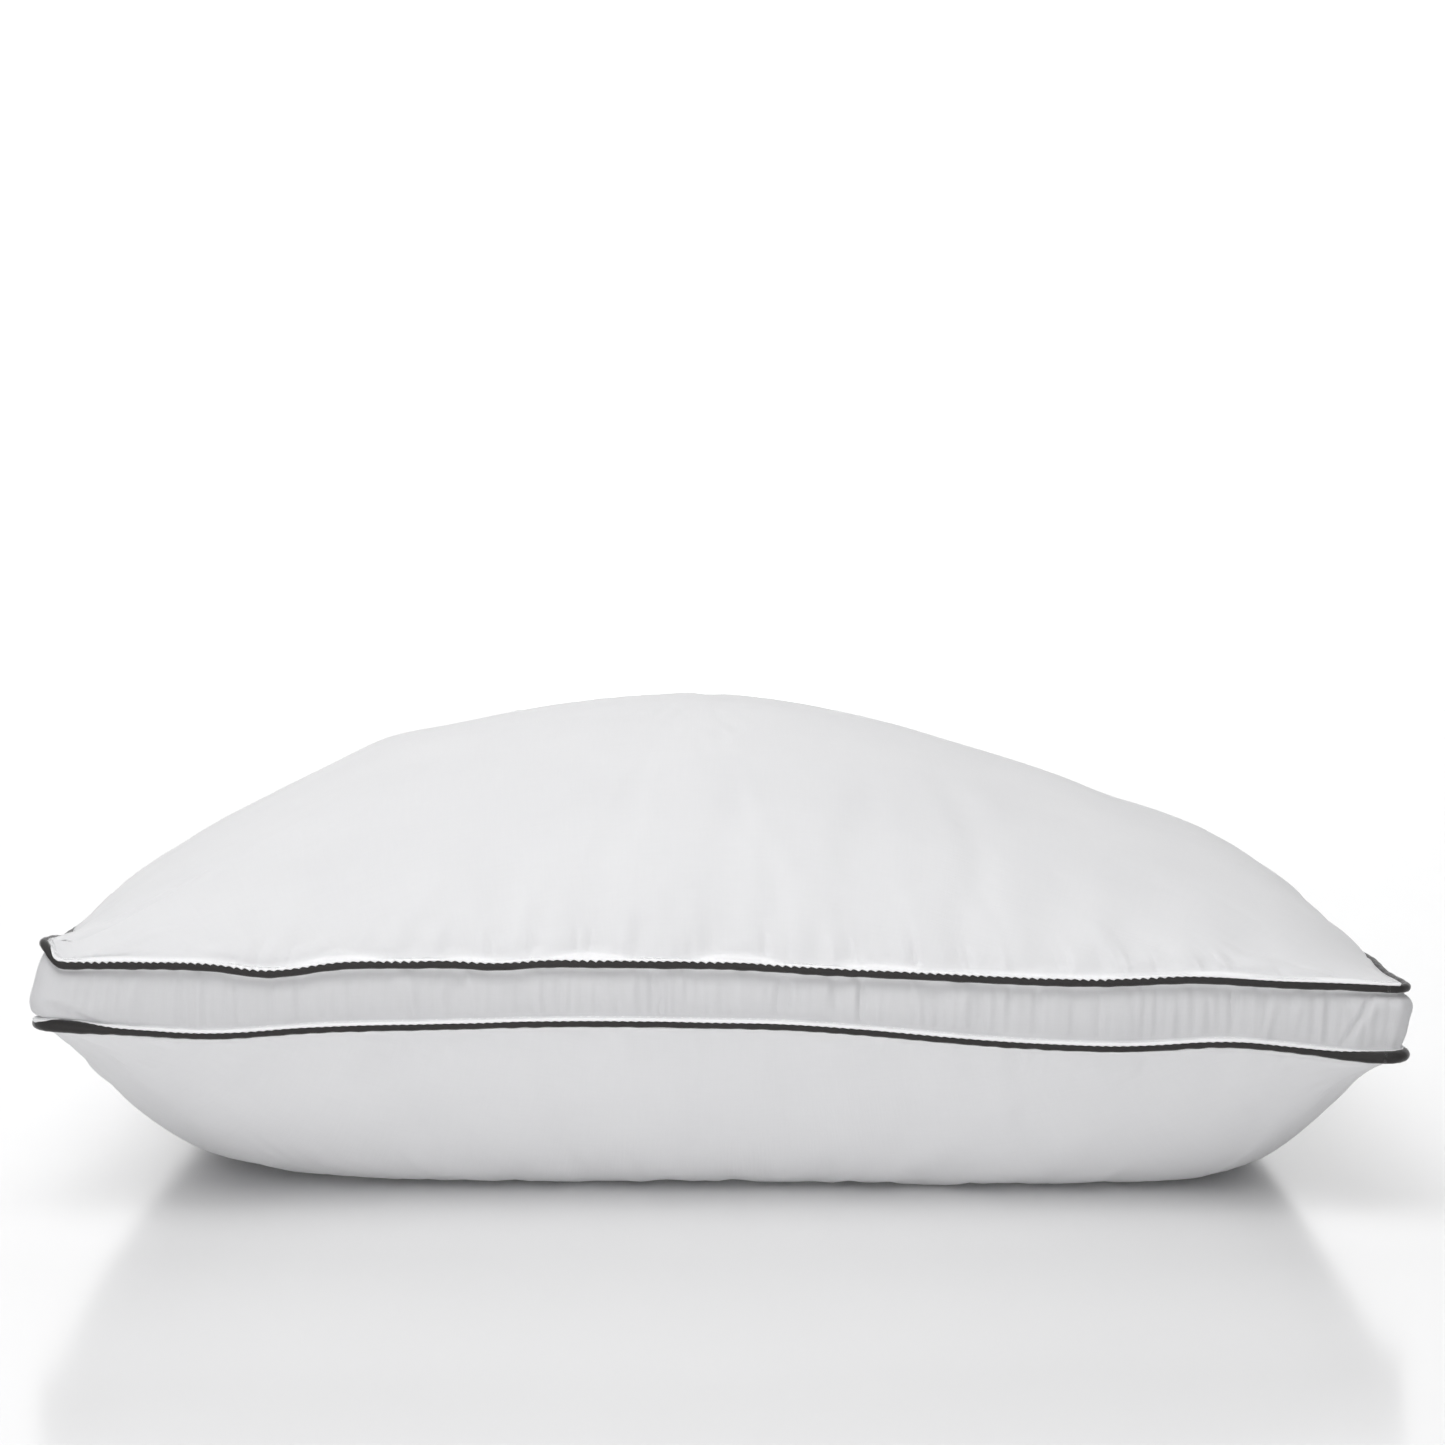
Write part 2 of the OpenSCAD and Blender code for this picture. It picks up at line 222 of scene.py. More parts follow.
def ring_plan(seam, s, form):
    """A ring seen from above, and how full the pillow is there"""
    turn = np.arctan2(seam.plan[:, 1] / half_d, seam.plan[:, 0] / half_l)
    oval = np.stack([half_l * np.cos(turn), half_d * np.sin(turn)], 1)
    f = s ** form["square"]
    xy = s * ((1 - f) * oval + f * seam.plan)
    edge_u, edge_v = share(seam.plan)
    reach = softened(np.maximum(np.abs(edge_u), np.abs(edge_v)), 18) ** (s ** 4)
    u, v = share(xy)
    u, v = u / reach, v / reach
    full = np.where(u < 0, profile(u, form["left"]), profile(u, form["right"]))
    full = full * profile(v, form["across"])
    return xy + np.array([form["shift"] * (1 - s * s), 0]), full


def crown_at(s):
    """The crown at the share s of the way out, 0 in the middle and 1 on the seam"""
    xy, full = ring_plan(upper, s, CROWN)
    for sx, sy, wide, deep, lost in CROWN_DRAWN:
        full = full * (1 - lost * np.exp(-((xy[:, 0] - sx * half_l) / wide) ** 2
            - ((xy[:, 1] - sy * half_d) / deep) ** 2))
    z = upper_z(xy[:, 0]) + crown_h * full + upper.dz * s ** 6
    inside = 1 - s ** 8
    for x, y, wide, deep, height in CROWN_BUMPS:
        z = z + inside * height * np.exp(-((xy[:, 0] - x) / wide) ** 2 - ((xy[:, 1] - y) / deep) ** 2)
    return np.column_stack([xy, z])


def onto_floor(z):
    return np.maximum(0, BELLY_SOFT * np.logaddexp(0, z / BELLY_SOFT) - 0.00035)


def belly_at(s, drop=0.0):
    """The belly at the share s of the way out, drop lower, and lying on the floor"""
    xy, full = ring_plan(lower, s, BELLY)
    z = lower_z(xy[:, 0]) - BELLY_H * full + lower.dz * s ** 6 - drop
    return np.column_stack([xy, onto_floor(z)])


def rounded(points, a):
    """A ring at the distance a from the seam, whose turn at the corners is eased"""
    spread = 40 * smooth_step(0.002, 0.03, a)
    if spread < 1:
        return points
    return np.stack([softened(c, spread) for c in points.T], 1)


def shares_for(shape, distances):
    """The shares of rings that lie at these distances from the seam, at the front"""
    middle = ROUND - LONG_STEPS // 2
    s = np.concatenate([np.linspace(0, 0.9, 300), 1 - np.geomspace(0.1, 1e-6, 600), [1]])
    line = np.array([shape(k)[middle] for k in s])
    steps = np.linalg.norm(np.diff(line, axis=0), axis=1)
    inward = np.concatenate([np.cumsum(steps[::-1])[::-1], [0]])
    return np.interp(distances, inward[::-1], s[::-1]), inward[0]


# ---- Gathers, puckers and folds ----

def folds(seam, count, widths, heights, lengths, share_of=None):
    """Random small folds across a seam: place, width, height, length and slant of each"""
    rows = []
    while len(rows) < count:
        place = rng.uniform(0, seam.length)
        height = rng.uniform(*heights) * rng.choice([-1, 1], p=[0.6, 0.4])
        row = (place, rng.uniform(*widths), height, rng.uniform(*lengths), rng.uniform(-0.09, 0.09))
        if share_of is None or rng.uniform() < share_of(place):
            rows.append(row)
    return rows


def fold_height(seam, rows, a):
    """Sum of the folds at the distance a from the seam"""
    value = np.zeros(ROUND)
    for place, width, height, length, slant in rows:
        d = (seam.arc - place - slant * a + seam.length / 2) % seam.length - seam.length / 2
        near = np.abs(d) < 4 * width
        value[near] += height * np.exp(-(d[near] / width) ** 2 - (a / length) ** 2)
    return value


def teeth(seam, depth):
    """Scallops of the cloth's edge between one stitch and the next, from 0 to depth"""
    turns = round(seam.length / STITCH_PITCH)
    phase = seam.arc / seam.length * turns
    saw = phase % 1
    scallop = np.where(saw < 0.65, saw / 0.65, (1 - saw) / 0.35) ** 1.2
    uneven = 0.8 + soft_noise(seam.arc, seam.length, 0.2, range(20, 90, 3))
    return depth * np.clip(uneven, 0.5, 1.15) * scallop


# ---- Meshes ----

def ring_faces(rings, closed):
    """Faces between rings whose numbers of points are equal, double or half"""
    starts = np.concatenate([[0], np.cumsum([len(r) for r in rings])])
    faces = []
    pairs = list(zip(range(len(rings) - 1), range(1, len(rings))))
    if closed:
        pairs.append((len(rings) - 1, 0))
    for k, m in pairs:
        a, b = len(rings[k]), len(rings[m])
        ka, kb = starts[k], starts[m]
        if a == b:
            j = np.arange(a)
            n = (j + 1) % a
            faces += np.stack([ka + j, ka + n, kb + n, kb + j], 1).tolist()
            continue
        flip = a < b
        if flip:
            a, b, ka, kb = b, a, kb, ka
        j = np.arange(b)
        n = (j + 1) % b
        p, q, r = ka + 2 * j, ka + 2 * j + 1, ka + (2 * j + 2) % a
        c, d = kb + j, kb + n
        for tri in (np.stack([p, q, c], 1), np.stack([q, d, c], 1), np.stack([q, r, d], 1)):
            faces += (tri[:, ::-1] if flip else tri).tolist()
    return starts, faces


def linked(name, data):
    obj = bpy.data.objects.new(name, data)
    bpy.context.collection.objects.link(obj)
    return obj


def make_object(name, points, faces, uv=None, smooth=True, edge=None):
    mesh = bpy.data.meshes.new(name)
    mesh.from_pydata(np.asarray(points).tolist(), [], faces)
    bm = bmesh.new()
    bm.from_mesh(mesh)
    bmesh.ops.recalc_face_normals(bm, faces=bm.faces)
    bm.to_mesh(mesh)
    bm.free()
    if uv is not None:
        corner = np.empty(len(mesh.loops), dtype=np.int32)
        mesh.loops.foreach_get("vertex_index", corner)
        layer = mesh.uv_layers.new(name="Weave")
        layer.data.foreach_set("uv", np.asarray(uv, dtype=np.float32)[corner].ravel())
    # edge holds the strength of the painted highlight at each point, as the edge attribute
    if edge is not None:
        mesh.attributes.new("edge", "FLOAT", "POINT").data.foreach_set("value", edge)
    if smooth:
        mesh.shade_smooth()
    return linked(name, mesh)


def ring_object(name, rings, flats, closed=False, first=None, last=None, edges=None):
    """A skin through its rings, with a middle point at either end if one is given. edges
    says how strong the painted highlight is on each ring, kept on its points as the edge attribute"""
    starts, faces = ring_faces(rings, closed)
    points = np.concatenate(rings)
    uv = np.concatenate(flats)
    for point, ring in ((first, 0), (last, len(rings) - 1)):
        if point is not None:
            a, n = starts[ring], len(rings[ring])
            faces += [[a + j, a + (j + 1) % n, len(points)] for j in range(n)]
            points = np.vstack([points, point])
            uv = np.vstack([uv, [0, 0]])
    edge = None
    if edges is not None:
        edge = np.zeros(len(points), dtype=np.float32)
        for start, ring, highlight_share in zip(starts, rings, edges):
            edge[start:start + len(ring)] = highlight_share
    return make_object(name, points, faces, uv, edge=edge)


def thread_object(name, paths, radius, sides=6):
    """Short threads along paths of points, rounded at both ends, as one piece"""
    angles = 2 * math.pi * np.arange(sides) / sides
    points, faces = [], []
    for path in paths:
        path = np.asarray(path)
        ways = np.gradient(path, axis=0)
        ways /= np.linalg.norm(ways, axis=1)[:, None]
        path = np.vstack([path[0] - 0.6 * radius * ways[0], path, path[-1] + 0.6 * radius * ways[-1]])
        ways = np.vstack([ways[0], ways, ways[-1]])
        sizes = np.ones(len(path))
        sizes[[0, -1]] = 0.55
        side = np.cross(ways, [0.31, 0.17, 0.93])
        side /= np.linalg.norm(side, axis=1)[:, None]
        other = np.cross(ways, side)
        start = len(points)
        for p, a, b, size in zip(path, side, other, sizes):
            points += [p + radius * size * (math.cos(t) * a + math.sin(t) * b) for t in angles]
        for k in range(len(path) - 1):
            r = start + k * sides
            faces += [[r + j, r + (j + 1) % sides, r + sides + (j + 1) % sides, r + sides + j]
                for j in range(sides)]
        faces.append([start + j for j in range(sides)])
        faces.append([start + (len(path) - 1) * sides + j for j in range(sides)])
    return make_object(name, points, faces)


# ---- Cloth simulation ----

SIM_STRIDE = 16
SIM_FRAMES = 20
SIM_CAP = 1.3 * MM
SIM_SHARE = 0.6  # how much of the creases is kept


def graded(first, growth, most, total):
    """Distances from 0 to total, whose steps grow from first to most"""
    rows, step = [0.0], first
    while rows[-1] + step < total:
        rows.append(rows[-1] + step)
        step = min(most, step * growth)
    return np.array(rows)


crown_length = shares_for(crown_at, [0])[1]
belly_length = shares_for(belly_at, [0])[1]
sim_rows = {"crown": shares_for(crown_at, graded(0.005, 1.05, 0.008, crown_length - 0.02))[0],
    "belly": shares_for(belly_at, graded(0.005, 1.05, 0.010, belly_length - 0.02))[0]}


def simulate():
    """Puff a coarse cover under pressure, with a little spare cloth between its pinned
    seams, and return how each ring of the crown and belly creased"""
    crown = [crown_at(s)[::SIM_STRIDE] for s in sim_rows["crown"]]
    belly = [belly_at(s)[::SIM_STRIDE] for s in sim_rows["belly"]]
    rings = crown[::-1] + belly
    starts, faces = ring_faces(rings, False)
    cover = make_object("cover_simulation", np.concatenate(rings), faces)
    n = len(crown[0])
    start = np.concatenate(rings)
    pins = cover.vertex_groups.new(name="pins")
    held = set()
    for ring in (0, len(crown) - 1, len(crown), len(rings) - 1):
        held |= set(range(starts[ring], starts[ring + 1]))
    held |= {k for k in range(len(start)) if start[k, 2] < 0.001}
    pins.add([int(k) for k in held], 1.0, "REPLACE")
    cloth = cover.modifiers.new("Cloth", "CLOTH")
    cloth.settings.quality = 6
    cloth.settings.mass = 0.25
    cloth.settings.tension_stiffness = 25
    cloth.settings.compression_stiffness = 25
    cloth.settings.shear_stiffness = 8
    cloth.settings.bending_stiffness = 0.6
    cloth.settings.use_pressure = True
    cloth.settings.uniform_pressure_force = 4
    cloth.settings.shrink_min = -0.03
    cloth.settings.vertex_group_mass = "pins"
    cloth.settings.effector_weights.gravity = 0
    cloth.collision_settings.use_collision = False
    cloth.point_cache.frame_start = 1
    cloth.point_cache.frame_end = SIM_FRAMES
    for k in range(1, SIM_FRAMES + 1):
        bpy.context.scene.frame_set(k)
    done = cover.evaluated_get(bpy.context.evaluated_depsgraph_get()).to_mesh()
    end = np.empty(3 * len(start))
    done.vertices.foreach_get("co", end)
    moved = end.reshape(-1, 3) - start
    bpy.context.scene.frame_set(1)
    bpy.data.objects.remove(cover, do_unlink=True)
    grid = moved.reshape(len(rings), n, 3)
    return {"crown": grid[:len(crown)][::-1], "belly": grid[len(crown):]}


def creases(moves):
    """The creases alone: the broad swelling is taken out, and their height is capped"""
    broad = moves.copy()
    for _ in range(10):
        broad = (np.roll(broad, 1, 1) + 2 * broad + np.roll(broad, -1, 1)) / 4
        padded = np.concatenate([broad[:1], broad, broad[-1:]])
        broad = (padded[:-2] + 2 * broad + padded[2:]) / 4
    fine = moves - broad
    size = np.linalg.norm(fine, axis=2, keepdims=True)
    return SIM_SHARE * fine / np.sqrt(1 + (size / SIM_CAP) ** 2)


settled = {k: creases(v) for k, v in simulate().items()}


def spline(a, b, c, d, f):
    """A smooth value at the share f of the way from b to c, with a before and d after"""
    return b + 0.5 * f * (c - a + f * (2 * a - 5 * b + 4 * c - d + f * (3 * (b - c) + d - a)))


def cubic(rows, t):
    """Smooth values between evenly numbered rows, at the place t"""
    k = int(np.clip(math.floor(t), 0, len(rows) - 2))
    f = min(1, max(0, t - k))
    return spline(*(rows[min(len(rows) - 1, max(0, k + j))] for j in (-1, 0, 1, 2)), f)


def crease_at(kind, s):
    """How the simulation moved the cloth at the share s, at every point round"""
    rows = sim_rows[kind]
    if kind not in settled or s >= rows[0]:
        return np.zeros((ROUND, 3))
    t = np.interp(-s, -rows, np.arange(len(rows)))
    ring = cubic(settled[kind], t)
    n = len(ring)
    place = np.arange(ROUND) / SIM_STRIDE
    k = place.astype(int)
    f = (place - k)[:, None]
    return spline(*(ring[(k + j) % n] for j in (-1, 0, 1, 2)), f)


# ---- Edges of the cloth, sewn against the piping ----

TUCK_R = PIPE_R + 0.12 * MM
LIP_R = TUCK_R + CLOTH
# Degrees round the piping where the cloth meets it, and where it leaves it again
TUCK_TURN, LIP_TURN = 150, 117
UNDER_TIP = 122.0  # degrees round the piping where a lip below it ends
# Lips above the piping: where they end, the depth of their teeth, and how much less they
# cover on the short sides or over the fat ends, all in degrees round the piping
UPPER_LIP, UPPER_BITE, SIDE_BARE = 54, 29, 96
LOWER_LIP, LOWER_BITE, END_BARE = 32, 9, 74
TIP_COVER, TIP_REACH = 70, 0.007  # the cloth that closes over the very corner on the left


def on_short_side(out_x):
    """From 0 on the long sides to 1 on the short ones, by the direction outwards"""
    return smooth_step(0.3, 0.8, np.abs(out_x))


upper_teeth = teeth(upper, UPPER_BITE)
lower_teeth = teeth(lower, LOWER_BITE)
short_side = on_short_side(upper.out[:, 0])
# The teeth of the upper lip are nearly gone at its right end
even = 0.85 * smooth_step(0.205, 0.24, upper.plan[:, 0])
upper_teeth = (1 - even) * upper_teeth + even * upper_teeth.mean()
upper_tip = UPPER_LIP + SIDE_BARE * short_side - (1 - 0.6 * short_side) * upper_teeth
from_tip = np.hypot(lower.plan[:, 0] + half_l - 0.0085, lower.plan[:, 1] + half_d)
lower_tip = (LOWER_LIP - lower_teeth + END_BARE * lower.fat / lower.fat.max()
    - TIP_COVER * np.exp(-(from_tip / TIP_REACH) ** 2))


def on_piping(seam, side, radius, degrees, stride=1):
    """Points on a circle round the piping, where 0 degrees is straight outwards"""
    turn = np.radians(np.broadcast_to(degrees, (ROUND,)))
    radius = radius + seam.fat
    return seam.at(PIPE_OUT + radius * np.cos(turn), side * radius * np.sin(turn), stride)


def edge_rings(seam, side, tip):
    """From the hem inside to the lip on the piping, above it (side 1) or below (side -1)"""
    return [
        seam.at(-1.5 * MM, side * HEM_FAR, 8),
        seam.at(-HEM, side * HEM_FAR, 8),
        seam.at(-HEM, side * HEM_NEAR, 8),
        seam.at(-0.1 * MM, side * HEM_NEAR, 4),
        on_piping(seam, side, TUCK_R, TUCK_TURN, 2),
        on_piping(seam, side, TUCK_R + 0.02 * MM, 0.45 * (tip + 10) + 0.55 * TUCK_TURN, 2),
        on_piping(seam, side, TUCK_R, tip + 10),
        on_piping(seam, side, TUCK_R + 0.03 * MM, tip),
        on_piping(seam, side, LIP_R, tip + 4),
        on_piping(seam, side, LIP_R + 0.03 * MM, 0.6 * (tip + 4) + 0.4 * np.maximum(LIP_TURN, tip)),
        on_piping(seam, side, LIP_R, 0.2 * (tip + 4) + 0.8 * np.maximum(LIP_TURN, tip)),
    ]


def lip_offsets(a, table):
    rows = np.array(table) * MM
    return np.interp(a, rows[:, 0], rows[:, 1])


# Distance up the cloth, and how far it stands out there, both in millimetres
RIM_OUT = ((0, 1.1), (0.5, 0.8), (1.0, 0.3), (1.5, -0.05), (2.2, -0.2), (4, -0.1), (7, 0.1), (16, 0))
UNDER_OUT = ((0, 0.9), (0.6, 0.75), (1.3, 0.45), (2.2, 0.35), (4, 0.6), (7, 0.7), (12, 0.3), (20, 0))


def lift(a):
    """How far the cloth starts above the middle of the seam"""
    return 1.5 * MM + 0.8 * MM * np.exp(-(a / (2 * MM)) ** 2)


def flat_pattern(points, inward, total):
    """Places on the cloth as cut: the direction from the middle, and the length along it"""
    way = np.arctan2(points[:, 1] / half_d, points[:, 0] / half_l)
    k = (total - inward) / total
    return k * np.column_stack([half_l * np.cos(way), half_d * np.sin(way)]) * total / half_d


def stride_for(a):
    for limit, stride in ((0.003, 1), (0.013, 2), (0.10, 4), (0.17, 8), (0.215, 16)):
        if a < limit:
            return stride
    return 32


def gusset_side(x):
    """More puckers on the right of the front, where the cloth is fullest"""
    return 0.45 + 0.55 * smooth_step(-0.05, 0.1, x)


def front_share(seam):
    return lambda place: gusset_side(np.interp(place, seam.arc, seam.plan[:, 0]))


crown_puckers = folds(upper, 420, (1.2 * MM, 3.4 * MM), (0.15 * MM, 0.75 * MM), (5 * MM, 18 * MM),
    front_share(upper))
crown_folds = folds(upper, 60, (5 * MM, 12 * MM), (0.3 * MM, 1.0 * MM), (14 * MM, 40 * MM))
belly_puckers = folds(lower, 380, (1.4 * MM, 3.6 * MM), (0.10 * MM, 0.42 * MM), (4 * MM, 12 * MM),
    front_share(lower))
belly_folds = folds(lower, 50, (6 * MM, 14 * MM), (0.2 * MM, 0.7 * MM), (14 * MM, 36 * MM))


PAINTED_RIM_REACH = 0.6 * MM  # how far up the cloth the painted highlight along its edge reaches
UNDER_PAINTED_HIGHLIGHT = 0.4  # how strong the painted highlight is on the edges below the piping
EDGE_INSIDE = 3  # rings of an edge that lie inside the pillow
SNUG_DROP = 1.7 * MM  # how much lower the crown starts along the short sides


def panel(name, seam, shape, side, kind, rim, puckers, broad, tip, snug, length, rim_highlight):
    """One panel as a closed skin: middle of the inside, out to the hem, round the lip on
    the piping, and back in over the outside. tip is where the lip ends, snug is how close
    the cloth lies to the seam, and the last argument how strong the painted highlight on its
    edge is, all from 0 to 1"""
    rows = graded(0.6 * MM, 1.11, 7 * MM, length - 0.004)
    shares = shares_for(shape, rows)[0]
    outer, flats = [], []
    bite = (tip.max() - tip) / max(1e-9, tip.max() - tip.min())
    for a, s in zip(rows, shares):
        stride = stride_for(a)
        out = lip_offsets(a, rim) * (1 - 1.3 * snug * math.exp(-a / (3 * MM)))
        out += 0.28 * MM * (bite - 0.35) * math.exp(-(a / (0.9 * MM)) ** 2) * (side > 0)
        if side > 0:
            p = shape(s)
            p[:, 2] += lift(a) - SNUG_DROP * snug * math.exp(-(a / (12 * MM)) ** 2)
        else:
            p = shape(s, lift(a))
        p[:, :2] += out[:, None] * seam.out
        p = rounded(p, a)
        push = fold_height(seam, puckers, a) * (1 - math.exp(-a / (1.2 * MM)))
        push += fold_height(seam, broad, a) * (1 - math.exp(-a / (5 * MM)))
        p += push[:, None] * np.column_stack([seam.out, np.full(ROUND, 0.3 * side)])
        p += crease_at(kind, s)
        if side < 0:
            p[:, 2] = np.maximum(p[:, 2], 0)
        outer.append(p[::stride])
        flats.append(flat_pattern(outer[-1], a, length))
    inner, inner_flats = [], []
    inner_rows = np.concatenate([[3 * MM, 7 * MM], graded(14 * MM, 1.0, 14 * MM, length - 0.02)[1:]])
    for a, s in zip(inner_rows, shares_for(shape, inner_rows)[0]):
        stride = 8 if a < 0.12 else 16
        p = shape(s) if side > 0 else shape(s, lift(a))
        if side > 0:
            p[:, 2] += lift(a)
        p += crease_at(kind, s)
        toward = np.column_stack([-seam.out, np.full(ROUND, -side * 0.6)]) * 1.1 * MM
        if side < 0:
            toward[:, 2] = 1.1 * MM
        inner.append((p + toward)[::stride])
        inner_flats.append(flat_pattern(inner[-1], a, length))
    edge = edge_rings(seam, side, tip)
    edge_flats = [flat_pattern(r, 0, length) for r in edge]
    rings = inner[::-1] + edge + outer
    # Painted highlight at the strength of the last argument: full on the edge rings outside the pillow,
    # fading over a thin strip of the outside next to them
    white = [0] * (len(inner) + EDGE_INSIDE) + [rim_highlight] * (len(edge) - EDGE_INSIDE)
    white += [rim_highlight * math.exp(-(a / PAINTED_RIM_REACH) ** 2) for a in rows]
    return ring_object(name, rings, inner_flats[::-1] + edge_flats + flats,
        first=inner[-1].mean(0), last=outer[-1].mean(0), edges=white)


# ---- Side band ----

JOIN_X = 0.1805  # where the ends of the band are joined, on the front
BULGE = 3 * MM
BAND_START = 2.3 * MM  # from the middle of a seam to the first row of the band
band_rows = np.array([0, 0.02, 0.045, 0.075, 0.11, 0.155, 0.205, 0.26, 0.32, 0.38, 0.44, 0.5,
    0.56, 0.62, 0.68, 0.74, 0.795, 0.845, 0.89, 0.925, 0.955, 0.98, 1])

gathers_low = folds(lower, 330, (1.3 * MM, 3.2 * MM), (0.3 * MM, 1.1 * MM), (5 * MM, 20 * MM),
    front_share(lower))
gathers_high = folds(upper, 330, (1.3 * MM, 3.2 * MM), (0.25 * MM, 0.9 * MM), (5 * MM, 20 * MM),
    front_share(upper))
band_folds = folds(lower, 150, (1.8 * MM, 4.5 * MM), (0.4 * MM, 1.2 * MM), (40 * MM, 90 * MM))
# Close, upright gathers over the whole height of the band: one run of them at the bottom
# and one at the top, so that they wander on the way up
fullness = front_share(lower)(lower.arc)
upright = [soft_noise(lower.arc, lower.length, height * MM, range(240, 440, 7))
    * (0.55 + 0.45 * soft_noise(lower.arc, lower.length, 1, range(8, 30, 3))) * fullness
    for height in (0.34, 0.2, 0.2)]
# Creases seen on the front: x at the bottom and at the top, the share of the height
# where each starts and ends, its width and its depth
FRONT_CREASES = ((0.256, 0.2585, 0.0, 1.0, 1.0, -1.1), (0.2600, 0.2625, 0.0, 1.0, 1.8, 0.6),
    (0.2915, 0.3065, -0.1, 1.1, 1.1, -2.0), (0.2955, 0.3105, -0.1, 1.1, 3.2, 1.1),
    (-0.204, -0.2045, 0.2, 1.0, 1.2, -0.8), (-0.2075, -0.208, 0.1, 1.0, 2.0, 0.5),
    (-0.291, -0.2865, 0.35, 0.9, 1.6, -0.7), (0.232, 0.231, 0, 0.7, 1.4, -0.7),
    (0.272, 0.276, 0.0, 0.55, 1.5, -0.7), (0.147, 0.1475, 0, 0.8, 1.3, -0.5))
# The fold over the fat end of the lower piping: x and share of the height at its two ends
END_FOLD = (-0.303, -0.288, 0.30, 0.07)
CALM_CORNER = (-0.314, -0.232, 0.040)  # x, y and reach of the corner with few gathers
# Swellings at the front corners: x, y, reach, height, and the share of the band's height
# where each is fullest and how far it spreads
SWELLINGS = ((*CALM_CORNER, 2.0 * MM, 0.50, 1.0), (*CALM_CORNER, 3.7 * MM, 0.16, 0.27),
    (0.318, -0.233, 0.030, 3.0 * MM, 0.82, 0.22))


def near_place(points, x, y, far):
    return np.exp(-((points[:, 0] - x) ** 2 + (points[:, 1] - y) ** 2) / far ** 2)


def band_point(f, fine=True):
    """The outside of the side band at the share f of its height, at every point round"""
    low = lower.at(0, BAND_START)
    high = upper.at(0, -BAND_START)
    p = (1 - f) * low + f * high
    out = (1 - f) * lower.out + f * upper.out
    height = band_h - 2 * BAND_START
    up_a, down_a = f * height, (1 - f) * height
    push = BULGE * max(0, math.sin(math.pi * f)) ** 1.1 + np.zeros(ROUND)
    push += lip_offsets(up_a, RIM_OUT) + 0.9 * lip_offsets(down_a, UNDER_OUT)
    if fine:
        plain = push.copy()
        push += fold_height(lower, gathers_low, up_a) * (1 - math.exp(-up_a / (1.5 * MM)))
        push += fold_height(upper, gathers_high, down_a) * (1 - math.exp(-down_a / (1.5 * MM)))
        ends = 1 - math.exp(-min(up_a, down_a) / (2.5 * MM))
        push += fold_height(lower, band_folds, up_a) * ends
        push += (upright[0] + (1 - f) * upright[1] + f * upright[2]) * ends
        front = p[:, 1] < -0.85 * half_d
        for x0, x1, start, end, width, depth in FRONT_CREASES:
            fade = smooth_step(start - 0.12, start + 0.08, f) * smooth_step(end + 0.12, end - 0.08, f)
            d = (p[:, 0] - (x0 + f * (x1 - x0))) / (width * MM)
            push += front * depth * MM * fade * ends * np.exp(-d * d)
        groove = (p[:, 0] - JOIN_X) / (0.5 * MM)
        step = (p[:, 0] - JOIN_X - 1.6 * MM) / (1.6 * MM)
        push += front * ends * (0.35 * MM * np.exp(-step * step) - 0.7 * MM * np.exp(-groove * groove))
        push = plain + (1 - 0.7 * near_place(p, *CALM_CORNER)) * (push - plain)
        for x, y, far, swell, middle, spread in SWELLINGS:
            share_here = smooth_step(0, 0.1, min(f, 1 - f)) * math.exp(-((f - middle) / spread) ** 2)
            push += swell * near_place(p, x, y, far) * share_here
        x0, x1, f0, f1 = END_FOLD
        line = f0 + (f1 - f0) * np.clip((p[:, 0] - x0) / (x1 - x0), 0, 1)
        near = front * smooth_step(x0 - 0.005, x0, p[:, 0]) * smooth_step(x1 + 0.006, x1, p[:, 0])
        push += near * (0.6 * MM * np.exp(-((f - line - 0.12) / 0.10) ** 2)
            - 1.8 * MM * np.exp(-((f - line) / 0.06) ** 2))
    p[:, :2] += push[:, None] * out
    return p


def side_band():
    """The band as a closed skin: over the lower lip, up the outside and down the inside"""
    outer = [band_point(f)[::1 if f < 0.04 else 2] for f in band_rows]
    inner = []
    for f in (0.93, 0.7, 0.5, 0.3, 0.07):
        p = band_point(f, fine=False)
        p[:, :2] -= 1.5 * MM * lower.out
        inner.append(p[::8])
    low_edge = edge_rings(lower, 1, lower_tip)
    high_edge = edge_rings(upper, -1, np.full(ROUND, UNDER_TIP))
    rings = low_edge + outer + high_edge[::-1] + inner
    heights = [0] * len(low_edge) + list(band_rows * band_h) + [band_h] * len(high_edge)
    heights += [band_h / 2] * len(inner)
    flats = [np.column_stack([lower.arc[::ROUND // len(r)], np.full(len(r), v)])
        for r, v in zip(low_edge + outer + high_edge + inner, heights)]
    # Painted highlight: full on the lower lip and fading up the band just above it, and weaker on the band
    # and the edge just below the upper piping
    white = [0] * EDGE_INSIDE + [1] * (len(low_edge) - EDGE_INSIDE)
    for v in band_rows * band_h:
        white.append(math.exp(-(v / PAINTED_RIM_REACH) ** 2)
            + UNDER_PAINTED_HIGHLIGHT * math.exp(-((band_h - v) / PAINTED_RIM_REACH) ** 2))
    white += [UNDER_PAINTED_HIGHLIGHT] * (len(high_edge) - EDGE_INSIDE) + [0] * (EDGE_INSIDE + len(inner))
    return ring_object("side_band", rings, flats, closed=True, edges=white)


# ---- Piping ----

PIPE_STRIDE = 4  # seam points from one point of a piping ring to the next


def round_piping(seam, radius, turn):
    """One line along the piping, at an angle and a distance from its middle"""
    p = seam.at(PIPE_OUT, 0, PIPE_STRIDE)
    p[:, :2] += (radius * math.cos(turn) * np.ones(len(p)))[:, None] * seam.out[::PIPE_STRIDE]
    p[:, 2] += radius * math.sin(turn)
    return p


